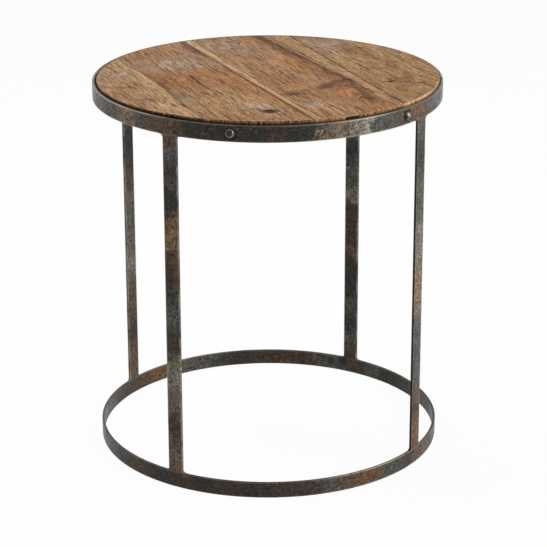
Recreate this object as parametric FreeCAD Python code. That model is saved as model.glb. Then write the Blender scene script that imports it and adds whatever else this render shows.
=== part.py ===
import FreeCAD, Part
import math
import os

# Round side table: a plank top held inside a rolled iron hoop, four flat-bar
# legs, and a second hoop that stands on the floor.
# Millimetres, +Z up, origin on the floor at the centre of the lower hoop.
# Angles run from the front (-Y) towards +X.

Vector = FreeCAD.Vector
centre = Vector(0, 0, 0)
x_axis = Vector(1, 0, 0)
y_axis = Vector(0, 1, 0)
z_axis = Vector(0, 0, 1)

# Iron frame
hoop_radius = 280.0
hoop_height = 26.0
hoop_thickness = 4.0
upper_hoop_top = 607.5
leg_width = 26.0
leg_thickness = 4.0
leg_places = ("front_left", "front_right", "back_right", "back_left")
leg_angles = (-45, 45, 135, 225)
bar_ease = 0.8
weld_reach = 5.0
weld_hollow = 0.9

# Plank top
top_gap = 1.5
top_rise = 4.5
plank_thickness = 22.0
plank_turn = 9.8
plank_gap = 0.3
left_plank_width = 86.5
right_plank_width = 144.5
middle_seam_shift = -9.0
plank_ease = 0.8
worn_arris = 2.5
under_ease = 1.0

# Loose tongues in grooves along the seams
tongue_width = 20.0
tongue_thickness = 6.0
tongue_setback = 45.0
tongue_clearance = 0.1

# Battens under the planks, held by cut nails
batten_from_rim = 159.5
batten_setback = 9.0
batten_width = 45.0
batten_thickness = 10.0
batten_chamfer = 6.0
nail_length = 26.0
nail_width = 5.0
nail_tip_width = 1.8
nail_thickness = 3.5
nail_head_overhang = 1.2
nail_head_height = 1.5
nail_inset = 28.0
nail_end_inset = 18.0
nail_clearance = 0.1

# Dome-headed rivet nails through the upper hoop into the planks
rivet_angles = (-24.8, 36.5, 155.2, 216.5)
rivet_head_diameter = 14.0
rivet_head_height = 4.5
rivet_shank_diameter = 5.0
rivet_grip = 22.0
rivet_tip = 7.0
rivet_clearance = 0.1

# Places that follow from the sizes above
hoop_inside = hoop_radius - hoop_thickness
upper_hoop_bottom = upper_hoop_top - hoop_height
hoop_middle = upper_hoop_bottom + hoop_height / 2
leg_face = math.sqrt(hoop_radius ** 2 - (leg_width / 2) ** 2)
top_radius = hoop_inside - top_gap
top_height = upper_hoop_top + top_rise
plank_bottom = top_height - plank_thickness
plank_middle = plank_bottom + plank_thickness / 2
left_seam = left_plank_width - top_radius
right_seam = top_radius - right_plank_width
middle_seam = (left_seam + right_seam) / 2 + middle_seam_shift
seams = (left_seam, middle_seam, right_seam)
seam_places = ("left", "middle", "right")
plank_places = ("left", "mid_left", "mid_right", "right")
batten_offset = top_radius - batten_from_rim
batten_bottom = plank_bottom - batten_thickness


def turned(shape, angle):
    # A piece built along +X, swung to its angle from the front.
    return shape.rotated(centre, z_axis, angle - 90)


def grain_turned(shape):
    # The boards run a little off the front-to-back line.
    return shape.rotated(centre, z_axis, plank_turn)


def polygon_face(points):
    corners = [Vector(*point) for point in points]
    return Part.Face(Part.makePolygon(corners + corners[:1]))


def half_chord(offset):
    # Half the length of the round top along a line this far from its centre.
    return math.sqrt(top_radius ** 2 - offset ** 2)


def bar_section(low_x, low_y, high_x, high_y):
    # Flat-bar section in the XY plane with its four corners eased.
    ease = bar_ease
    return polygon_face([
        (low_x + ease, low_y, 0),
        (high_x - ease, low_y, 0),
        (high_x, low_y + ease, 0),
        (high_x, high_y - ease, 0),
        (high_x - ease, high_y, 0),
        (low_x + ease, high_y, 0),
        (low_x, high_y - ease, 0),
        (low_x, low_y + ease, 0),
    ])


def hoop(bottom):
    # Bar rolled into a ring on edge, its ends welded and ground flush.
    section = bar_section(hoop_inside, bottom, hoop_radius, bottom + hoop_height)
    return section.rotated(centre, x_axis, 90).revolve(centre, z_axis, 360)


def rivet(clearance=0.0):
    # One nail along +X: dome on the hoop's face, round shank, point in the wood.
    shank = rivet_shank_diameter / 2 + clearance
    head = rivet_head_diameter / 2
    tip = top_radius - rivet_grip - clearance
    dome_radius = (head ** 2 + rivet_head_height ** 2) / (2 * rivet_head_height)
    dome_centre = hoop_radius + rivet_head_height - dome_radius
    lean = math.asin(head / dome_radius) / 2
    shoulder = Vector(dome_centre + dome_radius * math.cos(lean), dome_radius * math.sin(lean), 0)
    crown = Vector(hoop_radius + rivet_head_height, 0, 0)
    rim = Vector(hoop_radius, head, 0)
    stem = Part.makePolygon([
        crown,
        Vector(tip, 0, 0),
        Vector(tip + rivet_tip, shank, 0),
        Vector(hoop_radius, shank, 0),
        rim,
    ])
    dome = Part.Arc(rim, shoulder, crown).toShape()
    return Part.Face(Part.Wire(stem.Edges + [dome])).revolve(centre, x_axis, 360)


def rivets(clearance=0.0):
    one = rivet(clearance).translated(Vector(0, 0, hoop_middle))
    return [turned(one, angle) for angle in rivet_angles]


def leg(angle):
    # Flat bar between the hoops, its corners flush with their outer face.
    half = leg_width / 2
    section = bar_section(leg_face - leg_thickness, -half, leg_face, half)
    height = upper_hoop_bottom - hoop_height
    bar = section.translated(Vector(0, 0, hoop_height)).extrude(Vector(0, 0, height))
    return turned(bar, angle)


def corner_weld():
    # Hollow-faced fillet weld in the +Y corner where a leg stands on the lower hoop.
    inner = leg_face - leg_thickness + bar_ease
    depth = leg_thickness - 2 * bar_ease
    waist = weld_reach / 2 - weld_hollow / math.sqrt(2)
    root = Vector(inner, leg_width / 2, hoop_height)
    along_hoop = root + Vector(0, weld_reach, 0)
    up_leg = root + Vector(0, 0, weld_reach)
    face = Part.Arc(along_hoop, root + Vector(0, waist, waist), up_leg).toShape()
    edges = [Part.makeLine(root, along_hoop), face, Part.makeLine(up_leg, root)]
    return Part.Face(Part.Wire(edges)).extrude(Vector(depth, 0, 0))


def leg_welds(at_upper_hoop):
    one = corner_weld()
    pair = [one, one.mirror(centre, y_axis)]
    if at_upper_hoop:
        mid_height = Vector(0, 0, (hoop_height + upper_hoop_bottom) / 2)
        pair = [weld.mirror(mid_height, z_axis) for weld in pair]
    return [turned(weld, angle) for angle in leg_angles for weld in pair]


def top_disc():
    # The round top before it is divided: upper arris worn to two slopes, lower edge eased.
    worn_middle = worn_arris * (1 - 1 / math.sqrt(2))
    section = polygon_face([
        (0, 0, plank_bottom),
        (top_radius - under_ease, 0, plank_bottom),
        (top_radius, 0, plank_bottom + under_ease),
        (top_radius, 0, top_height - worn_arris),
        (top_radius - worn_middle, 0, top_height - worn_middle),
        (top_radius - worn_arris, 0, top_height),
        (0, 0, top_height),
    ])
    return section.revolve(centre, z_axis, 360)


def plank_sides():
    # Both sides of each board across the grain, with the seam gaps taken off.
    half_gap = plank_gap / 2
    lows = [-top_radius] + [seam + half_gap for seam in seams]
    highs = [seam - half_gap for seam in seams] + [top_radius]
    return list(zip(lows, highs))


def plank_slab(low, high):
    # One board along Y with its two upper edges eased.
    shoulder = top_height - plank_ease
    section = polygon_face([
        (low, -top_radius, plank_bottom),
        (high, -top_radius, plank_bottom),
        (high, -top_radius, shoulder),
        (high - plank_ease, -top_radius, top_height),
        (low + plank_ease, -top_radius, top_height),
        (low, -top_radius, shoulder),
    ])
    return section.extrude(Vector(0, 2 * top_radius, 0))


def tongue(seam, clearance=0.0):
    # Flat strip along a seam, half in each board, stopped short of the rim.
    width = tongue_width + 2 * clearance
    thickness = tongue_thickness + 2 * clearance
    half_length = half_chord(abs(seam) + tongue_width / 2) - tongue_setback + clearance
    corner = Vector(seam - width / 2, -half_length, plank_middle - thickness / 2)
    return Part.makeBox(width, 2 * half_length, thickness, corner)


def batten_half_length():
    return half_chord(batten_offset + batten_width / 2) - batten_setback


def nail_places():
    # Across the grain: two nails in a wide board, one where the batten just reaches it.
    places = []
    reach = batten_half_length()
    for low, high in plank_sides():
        first = max(low + nail_inset, nail_end_inset - reach)
        last = min(high - nail_inset, reach - nail_end_inset)
        if last - first > nail_inset:
            places += [first, last]
        else:
            places.append((max(low, -reach) + min(high, reach)) / 2)
    return places


def batten_nail(across, along, clearance=0.0):
    # Cut nail driven upwards: tapered in its width, even in its thickness.
    half = nail_width / 2 + clearance
    half_tip = nail_tip_width / 2 + clearance
    thickness = nail_thickness + 2 * clearance
    tip = batten_bottom + nail_length + clearance
    front = -thickness / 2
    shank = polygon_face([
        (-half, front, batten_bottom),
        (half, front, batten_bottom),
        (half_tip, front, tip),
        (-half_tip, front, tip),
    ]).extrude(Vector(0, thickness, 0))
    head_width = nail_width + 2 * nail_head_overhang
    head_depth = nail_thickness + 2 * nail_head_overhang
    head_corner = Vector(-head_width / 2, -head_depth / 2, batten_bottom - nail_head_height)
    head = Part.makeBox(head_width, head_depth, nail_head_height, head_corner)
    return shank.fuse(head).removeSplitter().translated(Vector(across, along, 0))


def batten_nails(along, clearance=0.0):
    return [batten_nail(across, along, clearance) for across in nail_places()]


def batten(along):
    # Cross-piece with its lower ends chamfered, clear of the hoop.
    half = batten_half_length()
    front = along - batten_width / 2
    section = polygon_face([
        (-half, front, plank_bottom),
        (-half, front, batten_bottom + batten_chamfer),
        (-half + batten_chamfer, front, batten_bottom),
        (half - batten_chamfer, front, batten_bottom),
        (half, front, batten_bottom + batten_chamfer),
        (half, front, plank_bottom),
    ])
    bar = section.extrude(Vector(0, batten_width, 0))
    return bar.cut(batten_nails(along, nail_clearance))


def planks():
    # Boards cut from one disc, then grooved and pierced for what holds them.
    disc = top_disc()
    holes = [tongue(seam, tongue_clearance) for seam in seams]
    for along in (-batten_offset, batten_offset):
        holes += batten_nails(along, nail_clearance)
    rivet_holes = rivets(rivet_clearance)
    boards = {}
    for place, (low, high) in zip(plank_places, plank_sides()):
        board = plank_slab(low, high).common(disc).cut(holes)
        boards["plank_" + place] = grain_turned(board).cut(rivet_holes)
    return boards


def build():
    nodes = {
        "upper_hoop": hoop(upper_hoop_bottom).cut(rivets(rivet_clearance)),
        "lower_hoop": hoop(0),
        "upper_leg_welds": Part.makeCompound(leg_welds(True)),
        "lower_leg_welds": Part.makeCompound(leg_welds(False)),
        "hoop_rivets": Part.makeCompound(rivets()),
    }
    for place, angle in zip(leg_places, leg_angles):
        nodes["leg_" + place] = leg(angle)
    nodes.update(planks())
    for place, seam in zip(seam_places, seams):
        nodes[place + "_seam_tongue"] = grain_turned(tongue(seam))
    for place, along in (("front", -batten_offset), ("back", batten_offset)):
        nodes["batten_" + place] = grain_turned(batten(along))
        nails = [grain_turned(nail) for nail in batten_nails(along)]
        nodes[place + "_batten_nails"] = Part.makeCompound(nails)
    return nodes


os.makedirs("parts", exist_ok=True)
for node, shape in build().items():
    state = "valid" if shape.isValid() else "not valid"
    print(node, len(shape.Solids), "solids", round(shape.Volume), "mm3", state)
    shape.exportStep("parts/" + node + ".step")
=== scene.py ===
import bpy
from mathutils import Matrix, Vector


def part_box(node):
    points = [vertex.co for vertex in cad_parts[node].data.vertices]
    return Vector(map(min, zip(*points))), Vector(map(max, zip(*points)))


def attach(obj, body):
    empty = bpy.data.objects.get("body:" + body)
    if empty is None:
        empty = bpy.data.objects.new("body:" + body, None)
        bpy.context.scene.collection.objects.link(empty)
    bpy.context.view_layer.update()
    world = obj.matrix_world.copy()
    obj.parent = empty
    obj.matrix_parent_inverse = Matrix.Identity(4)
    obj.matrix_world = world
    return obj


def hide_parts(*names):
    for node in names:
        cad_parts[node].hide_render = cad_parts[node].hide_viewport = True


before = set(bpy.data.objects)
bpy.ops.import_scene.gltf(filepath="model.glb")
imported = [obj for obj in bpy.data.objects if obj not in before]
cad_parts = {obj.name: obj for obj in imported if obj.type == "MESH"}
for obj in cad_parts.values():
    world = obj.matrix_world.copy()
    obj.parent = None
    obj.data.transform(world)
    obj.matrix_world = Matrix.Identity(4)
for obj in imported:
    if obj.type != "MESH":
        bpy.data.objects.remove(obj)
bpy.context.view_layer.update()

import math

import bmesh
import bpy
import numpy as np
from mathutils import Matrix, Vector

mm = 0.001
fullTurn = 2 * math.pi
inMillimetres = (1000, 1000, 1000)
print("frame loaded:", len(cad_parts), "nodes")


# Node trees: a Wire is one output socket with arithmetic, a Sheet is the tree it lives in
class Wire:
    def __init__(self, sheet, socket):
        self.sheet = sheet
        self.socket = socket

    def maths(self, operation, other=0.0, flipped=False):
        first, second = (other, self) if flipped else (self, other)
        return self.sheet.node("ShaderNodeMath", {"operation": operation}, {0: first, 1: second})

    def twin(self, output):
        return Wire(self.sheet, self.socket.node.outputs[output])

    def __add__(self, other):
        return self.maths("ADD", other)

    def __radd__(self, other):
        return self.maths("ADD", other, True)

    def __sub__(self, other):
        return self.maths("SUBTRACT", other)

    def __rsub__(self, other):
        return self.maths("SUBTRACT", other, True)

    def __mul__(self, other):
        return self.maths("MULTIPLY", other)

    def __rmul__(self, other):
        return self.maths("MULTIPLY", other, True)

    def __truediv__(self, other):
        return self.maths("DIVIDE", other)

    def __rtruediv__(self, other):
        return self.maths("DIVIDE", other, True)

    def __pow__(self, other):
        return self.maths("POWER", other)


class Sheet:
    def __init__(self, tree):
        self.tree = tree
        tree.nodes.clear()

    def node(self, kind, settings, values, output=0):
        made = self.tree.nodes.new(kind)
        for key, value in settings.items():
            if key == "stops":
                self.setStops(made.color_ramp, value)
            else:
                setattr(made, key, value)
        for key, value in values.items():
            if isinstance(value, Wire):
                self.tree.links.new(value.socket, made.inputs[key])
            else:
                made.inputs[key].default_value = value
        return Wire(self, made.outputs[output]) if len(made.outputs) else made

    def setStops(self, ramp, stops):
        # stops hold colours, or single numbers for a smooth curve
        numbers = isinstance(stops[0][1], float)
        ramp.interpolation = "CARDINAL" if numbers else "EASE"
        while len(ramp.elements) < len(stops):
            ramp.elements.new(1.0)
        for element, (place, value) in zip(ramp.elements, stops):
            element.position = place
            element.color = (value, value, value, 1.0) if numbers else (*value, 1.0)

    def mix(self, factor, first, second, blend="MIX"):
        settings = {"data_type": "RGBA", "blend_type": blend, "clamp_factor": True}
        values = {0: factor}
        for socket, colour in ((6, first), (7, second)):
            values[socket] = colour if isinstance(colour, Wire) else (*colour, 1.0)
        return self.node("ShaderNodeMix", settings, values, 2)

    def stretch(self, vector, scale, shift=(0, 0, 0)):
        values = {0: vector, 1: scale, 2: shift}
        return self.node("ShaderNodeVectorMath", {"operation": "MULTIPLY_ADD"}, values)

    def length(self, vector):
        return self.node("ShaderNodeVectorMath", {"operation": "LENGTH"}, {0: vector}, "Value")

    def away(self, vector, at, size):
        # distance from a place, 1 at the rim of an ellipse of that size
        scale = perSize(size)
        return self.length(self.stretch(vector, scale, [-value * part for value, part in zip(at, scale)]))

    def noise(self, vector, detail=2.0, roughness=0.5, distortion=0.0):
        values = {"Vector": vector, "Scale": 1.0, "Detail": detail}
        values.update({"Roughness": roughness, "Distortion": distortion})
        return self.node("ShaderNodeTexNoise", {}, values)

    def layer(self, vector, spec, shift):
        # noise of the size in mm that the layer gives for x, y and z, 0 where it doesn't change
        size, *detail = spec
        return self.noise(self.stretch(vector, perSize(size), shift), *detail)

    def ease(self, value, low, high, toLow=0.0, toHigh=1.0):
        values = {0: value, 1: low, 2: high, 3: toLow, 4: toHigh}
        return self.node("ShaderNodeMapRange", {"interpolation_type": "SMOOTHSTEP"}, values)

    def ramp(self, value, stops):
        return self.node("ShaderNodeValToRGB", {"stops": stops}, {0: value})

    def path(self, value, points):
        # a smooth curve of the second number over the first
        low, high = points[0][0], points[-1][0]
        heights = [float(height) for at, height in points]
        least, reach = min(heights), max(max(heights) - min(heights), 1.0)
        stops = [((at - low) / (high - low), (height - least) / reach) for at, height in points]
        return self.ramp((value - low) / (high - low), stops) * reach + least

    def attribute(self, name):
        return self.node("ShaderNodeAttribute", {"attribute_name": name}, {}, "Fac")

    def join(self, x, y, z):
        return self.node("ShaderNodeCombineXYZ", {}, {0: x, 1: y, 2: z})

    def split(self, vector):
        first = self.node("ShaderNodeSeparateXYZ", {}, {0: vector})
        return first, first.twin(1), first.twin(2)


class Finish(Sheet):
    def __init__(self, name):
        self.material = bpy.data.materials.new(name)
        self.material.use_nodes = True
        super().__init__(self.material.node_tree)

    def place(self, turn=0.0):
        # millimetres on the object, turned about the upright axis
        coords = self.node("ShaderNodeTexCoord", {}, {}, "Object")
        if not turn:
            return self.stretch(coords, inMillimetres)
        return self.node("ShaderNodeMapping", {}, {
            "Vector": coords, "Rotation": (0, 0, turn), "Scale": inMillimetres})

    def paint(self, colour, coats, palette, blend="MIX"):
        for mask, kind in coats:
            colour = self.mix(mask, colour, palette[kind], blend)
        return colour

    def bump(self, height, strength, distance):
        values = {"Height": height, "Strength": strength, "Distance": distance}
        return self.node("ShaderNodeBump", {}, values)

    def surface(self, values):
        self.close(self.node("ShaderNodeBsdfPrincipled", {}, values))
        return self.material

    def close(self, shader):
        self.node("ShaderNodeOutputMaterial", {}, {"Surface": shader})


class Shape(Sheet):
    # A Geometry Nodes tree; a whole-number default makes a whole-number input
    def __init__(self, name, inputs):
        super().__init__(bpy.data.node_groups.new(name, "GeometryNodeTree"))
        sockets = self.tree.interface
        sockets.new_socket("Geometry", in_out="OUTPUT", socket_type="NodeSocketGeometry")
        sockets.new_socket("Finish", in_out="INPUT", socket_type="NodeSocketMaterial")
        for label, value in inputs.items():
            kind = "NodeSocketInt" if isinstance(value, int) else "NodeSocketFloat"
            sockets.new_socket(label, in_out="INPUT", socket_type=kind).default_value = value
        first = self.node("NodeGroupInput", {}, {})
        self.sizes = {label: first.twin(label) for label in ["Finish", *inputs]}

    def position(self, geometry, place):
        return self.node("GeometryNodeSetPosition", {}, {"Geometry": geometry, "Position": place})

    def mark(self, geometry, name, value):
        settings = {"data_type": "FLOAT", "domain": "POINT"}
        values = {"Geometry": geometry, "Name": name, "Value": value}
        return self.node("GeometryNodeStoreNamedAttribute", settings, values)

    def close(self, geometry):
        real = self.node("GeometryNodeRealizeInstances", {}, {"Geometry": geometry})
        values = {"Geometry": real, "Material": self.sizes["Finish"]}
        painted = self.node("GeometryNodeSetMaterial", {}, values)
        self.node("NodeGroupOutput", {}, {"Geometry": painted})

    def grow(self, name, values):
        piece = addObject(name, bpy.data.meshes.new(name))
        modifier = piece.modifiers.new("shape", "NODES")
        modifier.node_group = self.tree
        for item in self.tree.interface.items_tree:
            if item.in_out == "INPUT" and item.name in values:
                modifier[item.identifier] = values[item.name]
        evaluated = piece.evaluated_get(bpy.context.evaluated_depsgraph_get())
        mesh = bpy.data.meshes.new_from_object(evaluated)
        piece.modifiers.clear()
        piece.data = mesh
        return piece


def perSize(size):
    return [1 / reach if reach else 0 for reach in size]


def addObject(name, data):
    made = bpy.data.objects.new(name, data)
    bpy.context.scene.collection.objects.link(made)
    return made


def dressPiece(piece, nodes, sharp=50):
    mesh = piece.data
    shaped = bmesh.new()
    shaped.from_mesh(mesh)
    bmesh.ops.recalc_face_normals(shaped, faces=shaped.faces)
    shaped.to_mesh(mesh)
    shaped.free()
    mesh.shade_smooth()
    mesh.set_sharp_from_angle(angle=math.radians(sharp))
    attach(piece, "root")
    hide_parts(*nodes)
    print("piece", piece.name, len(mesh.polygons), "faces")


# Iron: flat bar with cloudy patches of grey, brown and bare metal along its length
patina = {
    "charcoal": (0.027, 0.027, 0.023),
    "slate": (0.072, 0.074, 0.068),
    "pale": (0.170, 0.160, 0.136),
    "bright": (0.270, 0.260, 0.228),
    "umber": (0.046, 0.031, 0.020),
    "brown": (0.092, 0.062, 0.041),
    "taupe": (0.125, 0.100, 0.078),
    "rust": (0.125, 0.066, 0.035),
    "bronze": (0.155, 0.106, 0.054),
    "sand": (0.205, 0.150, 0.105),
    "pit": (0.010, 0.008, 0.006),
    "rub": (0.380, 0.350, 0.300),
}
# noise in the iron: size in mm and shift, then detail, roughness and distortion
ironLayers = {
    "cloud": (32, (3.1, 0.4, 7.7), 6, 0.66, 0.35),
    "mottle": (6.0, (0.2, 5.1, 1.3), 4, 0.68, 0.3),
    "warm": (24, (1.9, 4.4, 0.6), 5, 0.64, 0.4),
    "grit": (3.4, (0, 0, 0), 3, 0.75),
    "speck": (4.2, (8.3, 2.2, 5.7), 3, 0.75),
}
# what the mottling, grit and specks multiply the colour by
ironTints = {
    "dull": (0.40, 0.38, 0.36),
    "light": (1.8, 1.74, 1.66),
    "grit": (0.24, 0.21, 0.19),
    "speck": (2.5, 2.2, 1.85),
}
# colours by angle round a hoop, and by height in mm up a leg
# on the upper hoop the pale patches at -103 to -92 and at 74, where it turns away at the sides, are a
# painted reflection of the white surroundings, and the pale and bright run from 16 to 20 is a painted
# glossy reflection
upperHoopPatches = {
    -180: "slate", -160: "brown", -145: "charcoal", -125: "slate", -103: "pale", -92: "pale",
    -84: "slate", -71: "slate", -65: "sand", -58: "slate", -51: "brown", -45: "brown", -39: "charcoal",
    -15: "charcoal", -9: "umber", -4: "charcoal", 2: "charcoal", 5: "taupe", 9: "sand", 13: "taupe",
    16: "pale", 20: "bright", 24: "slate", 34: "brown", 42: "rust", 56: "slate", 74: "pale",
    110: "umber", 128: "brown", 150: "charcoal", 168: "rust", 180: "slate",
}
lowerHoopPatches = {
    -180: "charcoal", -166: "slate", -147: "rust", -134: "umber", -120: "umber", -102: "slate",
    -80: "charcoal", -69: "charcoal", -60: "umber", -52: "charcoal", -43: "umber", -36: "charcoal",
    -28: "umber", -19: "charcoal", -8: "umber", 0: "umber", 8: "slate", 15: "brown", 22: "rust",
    30: "slate", 40: "umber", 47: "brown", 58: "umber", 72: "charcoal", 100: "charcoal",
    118: "charcoal", 124: "slate", 131: "umber", 144: "slate", 151: "umber", 160: "umber",
    180: "charcoal",
}
legPatches = {
    "front_left": {
        0: "brown", 25: "brown", 50: "taupe", 78: "brown", 106: "umber", 140: "taupe", 172: "pale",
        205: "pale", 236: "umber", 290: "slate", 345: "charcoal", 380: "umber", 406: "bronze",
        442: "bronze", 465: "charcoal", 495: "charcoal", 508: "slate", 526: "charcoal", 548: "slate",
        578: "brown", 610: "brown",
    },
    "front_right": {
        0: "rust", 30: "rust", 72: "rust", 92: "umber", 115: "brown", 150: "slate", 232: "slate",
        262: "sand", 335: "sand", 362: "pale", 398: "pale", 425: "slate", 475: "slate", 525: "charcoal",
        560: "slate", 580: "brown", 610: "rust",
    },
    "back_right": {
        0: "umber", 30: "umber", 66: "slate", 92: "charcoal", 130: "slate", 155: "charcoal",
        214: "charcoal", 230: "rust", 246: "umber", 312: "umber", 331: "pale", 352: "slate",
        385: "slate", 412: "charcoal", 452: "slate", 500: "umber", 580: "slate", 610: "slate",
    },
    "back_left": {
        0: "brown", 40: "brown", 76: "brown", 100: "umber", 128: "umber", 160: "brown", 200: "brown",
        245: "pale", 275: "taupe", 315: "slate", 350: "taupe", 390: "brown", 430: "charcoal",
        476: "charcoal", 510: "pale", 580: "brown", 610: "brown",
    },
}
# how far the hoops' edges are lightened, by angle: rubbed bare, and a painted highlight along the top
# edges where they catch the light
upperRubAndGlint = [(-180, 0.3), (-110, 0.4), (-80, 1.0), (-55, 1.0), (-45, 0.3), (-18, 0.25), (0, 0.4), (6, 0.9),
            (24, 1.0), (31, 0.5), (60, 0.4), (180, 0.3)]
lowerRubAndGlint = [(-180, 0.3), (-20, 0.25), (4, 0.35), (14, 1.0), (40, 1.0), (52, 0.3), (180, 0.3)]
legHalfWidth = 13.0


def ironFinish(name, patches, along, smudge, rough=0.40, rubs=None, spots=(), gloss=0.25, grain=0.35,
               shadedSide=None):
    f = Finish(name)
    place = f.place()
    x, y, z = f.split(place)
    run = z
    if along == "angle":
        run = f.node("ShaderNodeMath", {"operation": "ARCTAN2"}, {0: x, 1: 0.0 - y}) * (180 / math.pi)
    cloud, mottle, warm, grit, speck = [
        f.layer(place, ((size,) * 3, *detail), shift) for size, shift, *detail in ironLayers.values()]
    low, high = min(patches), max(patches)
    spread = run + (cloud - 0.5) * smudge + (mottle - 0.5) * (smudge * 0.3)
    colour = f.ramp((spread - low) / (high - low),
                    [((at - low) / (high - low), patina[kind]) for at, kind in patches.items()])
    colour = f.mix(f.ease(warm, 0.54, 0.66) * 0.22, colour, patina["rust"])
    coarse = f.ease(warm + cloud * 0.4, 0.60, 0.80, grain, 1.0)
    colour = f.paint(colour, [
        (f.ease(mottle, 0.50, 0.66) * 0.80, "dull"),
        (f.ease(mottle, 0.48, 0.34) * 0.75, "light"),
        (f.ease(grit, 0.48, 0.60) * coarse, "grit"),
        (f.ease(speck, 0.50, 0.62) * coarse * 0.9, "speck"),
    ], ironTints, "MULTIPLY")
    if rubs:
        worn = f.ease(cloud + mottle * 0.3, 0.42, 0.66) * f.path(run, rubs)
    else:
        worn = f.ease(cloud + mottle * 0.3, 0.50, 0.78)
    # lightened edges: wear, and where a path by angle is given, also a painted highlight on the hoops and
    # a painted reflection round the rivet heads' rims
    colour = f.mix(f.attribute("edgeWear") * worn * 0.85, colour, patina["rub"])
    for at, reach, soft, kind, share in spots:
        away = f.away(place, at, (1, 1, 1)) + (mottle - 0.5) * soft * 2.0
        colour = f.mix(f.ease(away, reach + soft, reach) * share, colour, patina[kind])
    if shadedSide is not None:
        # painted shade on the leg's narrow left side, turned away from the key light
        turn = math.radians(shadedSide)
        beyond = legHalfWidth + x * math.cos(turn) + y * math.sin(turn)
        colour = f.mix(f.ease(beyond, 0.8, 0.2) * 0.95, colour, patina["pit"])
    return f.surface({
        "Base Color": colour,
        "Metallic": 0.3,
        "Roughness": f.ease(warm, 0.45, 0.7) * 0.18 + mottle * 0.16 + (rough - 0.08),
        "Specular IOR Level": gloss,
        "Normal": f.bump(mottle * 0.6 + grit * 0.35 + cloud * 0.5, 0.35, 0.6 * mm),
    })


upperLow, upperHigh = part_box("upper_hoop")
hoopRadius = float(upperHigh[0]) / mm
rivetHeight = float((upperLow[2] + upperHigh[2]) / 2) / mm
rivetPair = (-24.8, 36.5)           # degrees from the front, and the same again half a turn away
rivetAngles = [angle + half for half in (0, 180) for angle in rivetPair]


def onHoop(degrees, height, out=0.0):
    # a place on the hoops' outer face, moved outwards by so many mm
    turn, radius = math.radians(degrees), hoopRadius + out
    return radius * math.sin(turn), -radius * math.cos(turn), height


# spots of rust, dark marks, painted shade and painted highlight: place, reach and soft rim in mm, kind,
# share
# painted shade round each rivet head's seat on the hoop
rivetSeatShade = [(onHoop(angle, rivetHeight), 8.2, 2.4, "pit", 0.95) for angle in rivetAngles]
# painted light on the heads: a painted dark reflection on their crowns, and on the right-hand head a
# painted shadow on its left and a painted highlight near its top
darkCrowns = [angle for angle in rivetAngles if angle != rivetAngles[1]]
crowns = [(onHoop(angle, rivetHeight + 2.2, 4.0), 4.6, 1.4, "pit", 0.9) for angle in darkCrowns]
crowns += [(onHoop(34.9, rivetHeight - 1.0, 1.0), 4.8, 1.4, "pit", 0.95),
           (onHoop(36.4, rivetHeight + 2.6, 4.0), 2.2, 1.6, "rub", 0.95)]
# rust at the front-left leg's foot, and near-black patches in the weld corners inside the back-right
# leg's foot
weldCornerMarks = [(onHoop(-41.6, 24), 3.0, 4.0, "rust", 0.8), (onHoop(138, 20, -4.0), 6.0, 8.0, "pit", 0.8),
            (onHoop(143, 15, -4.0), 4.0, 6.0, "pit", 0.7)]
rivetPatches = {-180: "brown", -60: "umber", 0: "umber", 28: "taupe", 60: "taupe", 180: "umber"}
# how strongly each rivet head's rim shows a painted bright reflection, by angle
rivetRimReflection = [(-180, 0.6), (-40, 0.7), (-10, 0.7), (25, 0.3), (50, 0.3), (120, 0.4), (180, 0.6)]
ironFinishes = {
    "upper": ironFinish("upperHoopIron", upperHoopPatches, "angle", 22, rubs=upperRubAndGlint, spots=rivetSeatShade),
    "lower": ironFinish("lowerHoopIron", lowerHoopPatches, "angle", 22, rubs=lowerRubAndGlint, spots=weldCornerMarks),
    "rivet": ironFinish("rivetIron", rivetPatches, "angle", 12, 0.22, rivetRimReflection, crowns, gloss=0.5),
}
legSpots = {"front_left": [(onHoop(-42.8, height), 5, 8, "rust", 0.7) for height in (340, 360, 380)]}
legShadedSides = {"front_right": 45}
for legPlace, patches in legPatches.items():
    ironFinishes[legPlace] = ironFinish(
        "legIron_" + legPlace, patches, "height", 85, spots=legSpots.get(legPlace, ()), grain=0.7,
        shadedSide=legShadedSides.get(legPlace))
print("iron finishes made")


# Hoops and legs: one flat-bar section swept round a circle or up a line, with eased corners
bar = {
    "Radius": hoopRadius * mm,
    "Thickness": 4.0 * mm,
    "Ease": 0.75 * mm,
    "Sharpest Ease": 0.02 * mm,
    "Worn Edge": 2.2 * mm,
    "Dent": 0.18 * mm,
    "Pit": 0.05 * mm,
    "Section Points": 56,
}
hoop = {
    **bar,
    "Low": float(upperLow[2]),
    "High": float(upperHigh[2]),
    "Welded Edge": -1.0,            # -1 the lower edge, 1 the upper edge
    "Weld Half Width": 18.0 * mm,
    "First Leg": math.radians(45),
    "Segments": 760,
}
leg = {
    **bar,
    "Angle": 0.0,
    "Width": 2 * legHalfWidth * mm,
    "Low": float(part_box("lower_hoop")[1][2]),
    "High": float(upperLow[2]),
    "Fillet": 5.0 * mm,
    "Rows": 170,
}
legAngles = {"front_left": -45, "front_right": 45, "back_right": 135, "back_left": 225}


def barOutline(s, around, halfThick, halfWide):
    # square outline, its points bunched towards the corners
    rise = [s.ease(around, 0.25 * side, 0.25 * side + 0.25) for side in range(4)]
    px = (1.0 - 2.0 * rise[1] + 2.0 * rise[3]) * halfThick
    py = (2.0 * rise[0] - 2.0 * rise[2] - 1.0) * halfWide
    return px, py


def easeCorners(px, py, halfThick, halfWide, ease):
    coreX, coreY = halfThick - ease, halfWide - ease
    qx = px.maths("MINIMUM", coreX).maths("MAXIMUM", 0.0 - coreX)
    qy = py.maths("MINIMUM", coreY).maths("MAXIMUM", 0.0 - coreY)
    dx, dy = px - qx, py - qy
    grow = ease / (dx * dx + dy * dy) ** 0.5
    return qx + dx * grow, qy + dy * grow


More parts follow.
